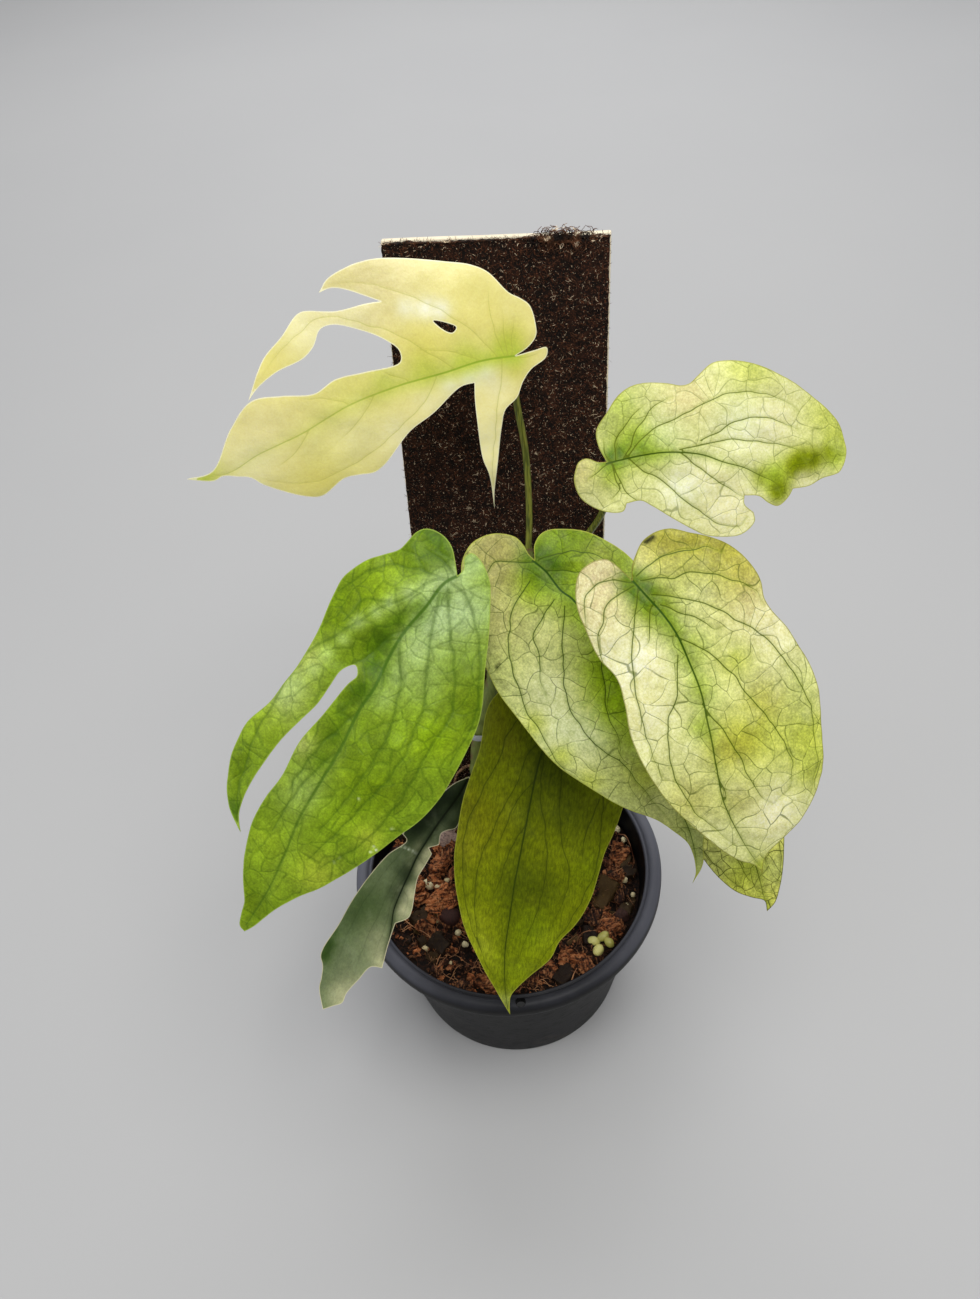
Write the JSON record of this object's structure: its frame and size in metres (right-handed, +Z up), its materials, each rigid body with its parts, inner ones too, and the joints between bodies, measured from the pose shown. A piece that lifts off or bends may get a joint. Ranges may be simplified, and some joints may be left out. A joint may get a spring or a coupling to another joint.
{
  "type": "potted variegated amydrium medium",
  "caption": "Potted climbing foliage plant with large cream and green variegated leaves on long stalks, its stem tied to a leaning fibre board in a round black plastic pot.",
  "frame": {"origin": "centre of the pot's flat base, where it stands on a table", "axes": "+Z up, -Y towards the side the leaves face, +X to the right as seen from there"},
  "size_m": [0.2024, 0.156, 0.3078],
  "materials": {
    "pot": "satin black moulded plastic",
    "potting_mix": "loose bark, husk chips, grit and fibre",
    "board_core": "matt pale board",
    "coir": "dark rough coir fibre",
    "stem": "smooth olive green stem with brown roots",
    "tie": "clear glossy plastic",
    "leaf_butter": "pale butter yellow leaf, satin",
    "leaf_cream": "cream leaf with a dark green vein net, satin",
    "leaf_green": "mottled bright green leaf, glossy",
    "leaf_olive": "olive green leaf with fine veins, satin",
    "leaf_aged": "dark grey-green old leaf with dry cream margins"
  },
  "bodies": {
    "root": {"pot": "pot", "potting_mix": "potting_mix", "board_core": "board_core", "coir_layer": "coir", "stem": "stem", "tie": "tie", "leaf_1": "leaf_butter", "leaf_2": "leaf_cream", "leaf_3": "leaf_cream", "leaf_4": "leaf_cream", "leaf_5": "leaf_green", "leaf_6": "leaf_olive", "leaf_7": "leaf_olive", "leaf_8": "leaf_aged"}
  },
  "joints": []
}
